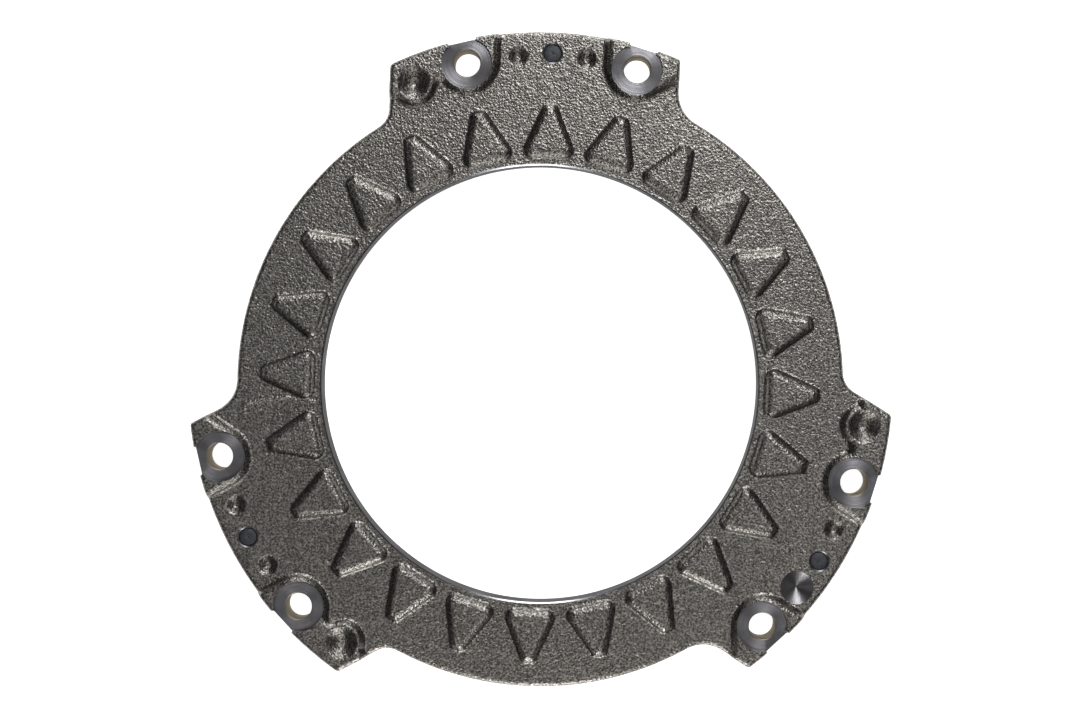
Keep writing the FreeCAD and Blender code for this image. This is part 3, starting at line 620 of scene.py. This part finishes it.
# Turned with a roughing feed: an even satin grey. Seen along its wall, the bore is dark: its dark grazing
# tint is painted shade, standing in for the shade that the grooves cast on one another.
turned_iron = machined_iron("grey_iron_turned", 0.35, "#7d7e82", "#9fa0a4", edge="#6e6b67", ring_pitch=0.5)
ring_points, ring_faces = carried_round(divided(TURNED_PROFILE, TURNED_STEP), TURNED_COLUMNS)
turned_faces = add_piece("turned_bore_and_friction_face", ring_points, ring_faces[:, ::-1], turned_iron,
                         "cast_iron", columns=TURNED_COLUMNS)
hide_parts("pressure_plate_casting")

# Chamfered in one light cut: the smoothest of the faces, so it catches the lamps as a thin bright line.
chamfer_iron = machined_iron("grey_iron_chamfered", 0.22, "#7d7e82", "#9fa0a4")
ring_points, ring_faces = carried_round(CHAMFER_PROFILE, TURNED_COLUMNS)
bore_chamfer = add_piece("bore_chamfer", ring_points, ring_faces[:, ::-1], chamfer_iron, "cast_iron")
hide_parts("pressure_plate_casting")

# The backs of the lugs: flat faces cut 2 mm above the friction face, where the plate bolts to the flywheel.
# The same turned iron. Each is the strip between the ring and the outline of its lug.
# The bolt holes and the dowel hole are cut through it.
BACK_ROWS = 30
BOLT_HOLE = 5.75
DOWEL_RADIUS = 4


def lug_back(number):
    """A flat grid from the ring's rim to the lug's outline, with its round holes cut out, facing down."""
    reach = np.hypot(outline[:, 0], outline[:, 1])
    x_out, y_out = outline[reach > RING_RIM + 1e-3, :2].T
    ring = RING_RIM / np.hypot(x_out, y_out)
    share = np.linspace(0, 1, BACK_ROWS)[:, None]
    x = x_out * ring * (1 - share) + x_out * share
    y = y_out * ring * (1 - share) + y_out * share
    holes = [((side * BOLT[0], BOLT[1]), BOLT_HOLE) for side in (-1, 1)] + [(DOWEL, DOWEL_RADIUS)]
    on_circle = np.zeros(x.shape, bool)
    for spot, radius in holes:
        x, y, on = snap(x, y, spot, radius, BACK_ROWS - 1)
        on_circle |= on
    faces = cut_round_holes(grid_quads(*x.shape), x, y, holes, on_circle, BACK_ROWS)
    x, y = turned(x, y, (number - 1) * SECTOR)
    return np.stack([x.ravel(), y.ravel(), np.full(x.size, float(LUG_BACK))], axis=1), faces


for number in (1, 2, 3):
    back = add_piece("lug_back_%d" % number, *lug_back(number), turned_iron, "cast_iron")
    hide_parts("pressure_plate_casting")

# The seats of the screw heads with their holes: spotfaced 1.5 mm into each boss and drilled through.
# Machined grey iron with rings round the hole's own axis, and a small chamfer at the mouth.
# A profile is carried round the bolt's axis, and its floor stops at the flat in the lug's rim.
SEAT_COLUMNS = 180
HOLE_COLUMNS = 96
HOLE_MOUTH = 0.4
FLOOR_ROWS = 61
SEAT_WALL_ROWS = 4
RING_PITCH = 0.4
RING_DEPTH = 0.035
RING_COUNT = 64
ring_cuts = rng.random(RING_COUNT)
HOLE_PROFILE = [(BOLT_HOLE, LUG_BACK), (BOLT_HOLE, SEAT_HEIGHT - HOLE_MOUTH),
                (BOLT_HOLE + HOLE_MOUTH, SEAT_HEIGHT)]


def bolt_seat(side, number):
    """The floor from the hole's mouth to the seat's circle or the rim flat, and the wall up to the skin.

    The floor carries the rings of the cutter: each ring has its own depth, read along the radius. No wall
    stands where the floor runs out at the flat.
    """
    turn = np.linspace(0, 2 * pi, SEAT_COLUMNS, endpoint=False)
    outward = radians(90 - side * BOLT_ANGLE)
    to_rim = np.cos(turn - outward)
    to_flat = np.where(to_rim > 0.1, (RIM_FLAT - BOLT_CIRCLE) / np.maximum(to_rim, 0.1), inf)
    edge = np.minimum(SEAT_RADIUS, to_flat)
    bolt = (side * BOLT[0], BOLT[1])
    c, s = np.cos(turn), np.sin(turn)
    x_edge, y_edge = bolt[0] + edge * c, bolt[1] + edge * s
    spin = (number - 1) * SECTOR
    cast = cast_height(x_edge, y_edge) - sand(*turned(x_edge, y_edge, spin))
    wall_top = np.where(edge < SEAT_RADIUS, SEAT_HEIGHT, np.maximum(cast, SEAT_HEIGHT))
    mouth = BOLT_HOLE + HOLE_MOUTH

    share = np.linspace(0, 1, FLOOR_ROWS)[:, None]
    up = np.linspace(0, 1, SEAT_WALL_ROWS + 1)[1:, None]
    floor = mouth * (1 - share) + edge * share
    cut = np.interp(floor, mouth + RING_PITCH * np.arange(RING_COUNT), ring_cuts)
    rings = SEAT_HEIGHT - RING_DEPTH * cut
    radius = np.concatenate([floor, edge * np.ones_like(up)])
    z = np.concatenate([rings, rings[-1] * (1 - up) + wall_top * up])
    x, y = turned(bolt[0] + radius * c, bolt[1] + radius * s, spin)
    points = np.stack([x.ravel(), y.ravel(), z.ravel()], axis=1)
    quads = grid_quads(len(radius), SEAT_COLUMNS, closed=True)
    heights = points[quads, 2]
    flat_wall = (quads[:, 0] >= (FLOOR_ROWS - 1) * SEAT_COLUMNS) & (np.ptp(heights, axis=1) < RING_DEPTH)
    return points, quads[~flat_wall]


# Spotfaced: a darker grey, whose rings draw the light out into soft spokes across them.
# Drilled: rough, dull and a little brown, because the holes rust first.
seat_iron = machined_iron("grey_iron_spotfaced", 0.4, "#747377", "#969599", grooved=0.7)
drilled_iron = machined_iron("grey_iron_drilled", 0.6, "#8d867b", "#b3aca0", edge="#b0a898")
for number in (1, 2, 3):
    for side, word in ((1, "near"), (-1, "far")):
        seat = add_piece("bolt_seat_%s_%d" % (word, number), *bolt_seat(side, number), seat_iron,
                         "cast_iron", columns=SEAT_COLUMNS)
        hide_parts("pressure_plate_casting")
        centre = turned(side * BOLT[0], BOLT[1], (number - 1) * SECTOR)
        points, faces = carried_round(HOLE_PROFILE, HOLE_COLUMNS, centre)
        hole = add_piece("bolt_hole_%s_%d" % (word, number), points, faces, drilled_iron, "cast_iron")
        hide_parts("pressure_plate_casting")

# The mouths of the dowel holes, and the dowel pins that are pressed into them.
# Hardened steel pins with a dark oxide skin, set 1 mm below the cast face, in a small turned chamfer.
# Both are profiles carried round the pin's axis. The pin's front end has the centre mark of its lathe.
PIN_TOP = 14
PIN_BOTTOM = -6
PIN_BEVEL = 0.6
PIN_FACE = DOWEL_RADIUS - PIN_BEVEL
CENTRE_MARK = 0.4
MOUTH_DEPTH = 0.6
DOWEL_COLUMNS = 64
MOUTH_PROFILE = [(DOWEL_MOUTH, RING_TOP - 0.1), (DOWEL_RADIUS, RING_TOP - MOUTH_DEPTH),
                 (DOWEL_RADIUS, PIN_TOP - PIN_BEVEL - 0.1)]
PIN_PROFILE = [(0, PIN_TOP - CENTRE_MARK), (CENTRE_MARK, PIN_TOP - 0.05), (CENTRE_MARK + 0.2, PIN_TOP),
               (PIN_FACE, PIN_TOP), (DOWEL_RADIUS - 0.15, PIN_TOP - 0.3),
               (DOWEL_RADIUS, PIN_TOP - PIN_BEVEL), (DOWEL_RADIUS, PIN_BOTTOM + PIN_BEVEL),
               (PIN_FACE, PIN_BOTTOM), (0, PIN_BOTTOM)]


def dark_steel():
    """Hardened steel with a black oxide skin: dark, dull and a little blue, with fine lighter wear."""
    material, shader = new_material("steel_black_oxide")
    place = add_node(material, "TexCoord").outputs["Object"]
    wear = add_node(material, "TexNoise", {"Vector": place}, Scale=1 / (0.6 * MM), Detail=4.0)
    tone = add_node(material, "ValToRGB", {"Fac": wear.outputs["Fac"]})
    tone.color_ramp.elements[0].position, tone.color_ramp.elements[0].color = 0.3, linear("#404246")
    tone.color_ramp.elements[1].position, tone.color_ramp.elements[1].color = 0.8, linear("#62656a")
    relief = add_node(material, "Bump", {"Height": wear.outputs["Fac"]}, Strength=0.2, Distance=0.05 * MM)
    material.node_tree.links.new(tone.outputs["Color"], shader.inputs["Base Color"])
    material.node_tree.links.new(relief.outputs["Normal"], shader.inputs["Normal"])
    shader.inputs["Metallic"].default_value = 0.9
    shader.inputs["Roughness"].default_value = 0.6
    return material


pin_steel = dark_steel()
for number in (1, 2, 3):
    centre = turned(*DOWEL, (number - 1) * SECTOR)
    points, faces = carried_round(MOUTH_PROFILE, DOWEL_COLUMNS, centre)
    mouth = add_piece("dowel_hole_mouth_%d" % number, points, faces[:, ::-1], seat_iron, "cast_iron",
                      columns=DOWEL_COLUMNS)
    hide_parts("pressure_plate_casting")
    points, faces = carried_round(PIN_PROFILE, DOWEL_COLUMNS, centre)
    pin = add_piece("dowel_pin_steel_%d" % number, points, faces[:, ::-1], pin_steel, "pin_steel")
    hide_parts("dowel_pin_%d" % number)

# The balance drilling: one shallow cone that took away a little iron to balance the plate.
# Cut with a large drill, so it is bright and has fine rings down to its centre.
# A ringed cone is carried round its axis. It takes the place of one small dimple.
BALANCE_SHOULDER = 0.3
BALANCE_POINT = 118
BALANCE_COLUMNS = 120
BALANCE_RINGS = 24
BALANCE_RING_POINTS = 4
BALANCE_RIDGE = 0.02


def balance_profile():
    """A short upright wall and a cone whose slope carries small sine ridges, one to a turn of the drill."""
    bottom = BALANCE_RADIUS / tan(radians(BALANCE_POINT / 2))
    share = np.linspace(0, 1, BALANCE_RINGS * BALANCE_RING_POINTS + 1)
    radius = BALANCE_RADIUS * (1 - share)
    ridge = BALANCE_RIDGE * np.sin(2 * pi * BALANCE_RINGS * share)
    height = RING_TOP - BALANCE_SHOULDER - bottom * share + ridge
    return [(BALANCE_RADIUS, RING_TOP - 0.05)] + list(zip(radius, height))


# Cut by the drill's ground point: smoother than a hole's wall, with sharp spokes of light from the centre.
balance_centre = turned(*BALANCE, (BALANCE_SECTOR - 1) * SECTOR)
points, faces = carried_round(balance_profile(), BALANCE_COLUMNS, balance_centre)
point_iron = machined_iron("grey_iron_drill_point", 0.34, "#6f6e71", "#8f8e91", grooved=0.35)
balance = add_piece("balance_drilling", points, faces[:, ::-1], point_iron, "cast_iron",
                    columns=BALANCE_COLUMNS)
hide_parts("pressure_plate_casting")

# The floor and the light: a white table under the plate, and soft lamps round it.
# The photograph is lit from its top and bottom edges, from high and from low, and weakly from its sides.
# The floor is white to the eye and in reflections, and takes the plate's shadow.
FLOOR_SIZE = 12
ROLL = 2.3


def white_floor():
    """White paper that glows where the camera or a reflection sees it, and is plain for other light."""
    material = bpy.data.materials.new("white_paper_floor")
    material.use_nodes = True
    tree = material.node_tree
    tree.nodes.remove(tree.nodes["Principled BSDF"])
    ways = add_node(material, "LightPath").outputs
    seen = add_node(material, "Math", {0: ways["Is Camera Ray"], 1: ways["Is Glossy Ray"]},
                    operation="MAXIMUM")
    seen = add_node(material, "Math", {0: seen.outputs[0], 1: ways["Is Transmission Ray"]},
                    operation="MAXIMUM")
    paper = add_node(material, "BsdfDiffuse", Color=linear("#ffffff"))
    glow = add_node(material, "Emission", Color=linear("#ffffff"), Strength=0.85)
    both = add_node(material, "AddShader", {0: paper.outputs[0], 1: glow.outputs[0]})
    mixed = add_node(material, "MixShader", {0: seen.outputs[0], 1: paper.outputs[0], 2: both.outputs[0]})
    tree.links.new(mixed.outputs[0], tree.nodes["Material Output"].inputs["Surface"])
    return material


half = FLOOR_SIZE / 2
floor_mesh = bpy.data.meshes.new("floor")
corners = ((-half, -half), (half, -half), (half, half), (-half, half))
floor_mesh.from_pydata([(x, y, float(cad_low.z)) for x, y in corners], [], [(0, 1, 2, 3)])
floor_mesh.materials.append(white_floor())
floor = bpy.data.objects.new("floor", floor_mesh)
bpy.context.scene.collection.objects.link(floor)


def add_lamp(name, azimuth, elevation, distance, size, watts, colour="#ffffff"):
    """A soft square lamp that faces the plate, from an azimuth anticlockwise of +X and an elevation.

    Its place is the distance times (cos a cos e, sin a cos e, sin e). Angles are in degrees.
    """
    data = bpy.data.lights.new(name, "AREA")
    data.size, data.energy, data.color = size, watts, linear(colour)[:3]
    lamp = bpy.data.objects.new(name, data)
    a, e = radians(azimuth), radians(elevation)
    lamp.location = distance * Vector((cos(a) * cos(e), sin(a) * cos(e), sin(e)))
    lamp.rotation_euler = lamp.location.to_track_quat("Z", "Y").to_euler()
    bpy.context.scene.collection.objects.link(lamp)


add_lamp("lamp_top", 72 + ROLL, 55, 1.2, 0.46, 7.2)
add_lamp("lamp_left", 200 + ROLL, 58, 1.2, 0.4, 0.6)
add_lamp("lamp_right", 335 + ROLL, 58, 1.2, 0.4, 1.0)
add_lamp("lamp_bottom", 268 + ROLL, 48, 1.25, 0.4, 2.5, "#fffaf4")
add_lamp("lamp_low_top", 90 + ROLL, 12, 1.25, 0.45, 6)
add_lamp("lamp_low_bottom", 270 + ROLL, 14, 0.36, 0.12, 0.42)
world = bpy.data.worlds.new("studio")
bpy.context.scene.world = world
world.use_nodes = True
sky = world.node_tree.nodes["Background"]
sky.inputs["Color"].default_value = linear("#ffffff")
sky.inputs["Strength"].default_value = 0.045

# The camera: a metre above the plate and nearly square to it, turned by 2.3 degrees as the photograph is.
# Its place and aim are given on the photograph's own level, with +X to the right and +Y to the top.
PHOTO_CAMERA = (0.0218, 0.0231, 1.0)
PHOTO_AIM = (0.0003, 0.0105, 0.015)
LENS = 75.57
SENSOR = 36
camera_data = bpy.data.cameras.new("camera")
camera_data.lens = LENS
camera_data.sensor_width = SENSOR
camera = bpy.data.objects.new("camera", camera_data)
bpy.context.scene.collection.objects.link(camera)
level = Matrix.Rotation(radians(ROLL), 3, "Z")
place, aim = level @ Vector(PHOTO_CAMERA), level @ Vector(PHOTO_AIM)
back = (place - aim).normalized()
right = (level @ Vector((0, 1, 0))).cross(back).normalized()
axes = Matrix((right, back.cross(right), back)).transposed()
camera.matrix_world = Matrix.Translation(place) @ axes.to_4x4()
bpy.context.scene.camera = camera
bpy.context.scene.view_settings.view_transform = "Standard"
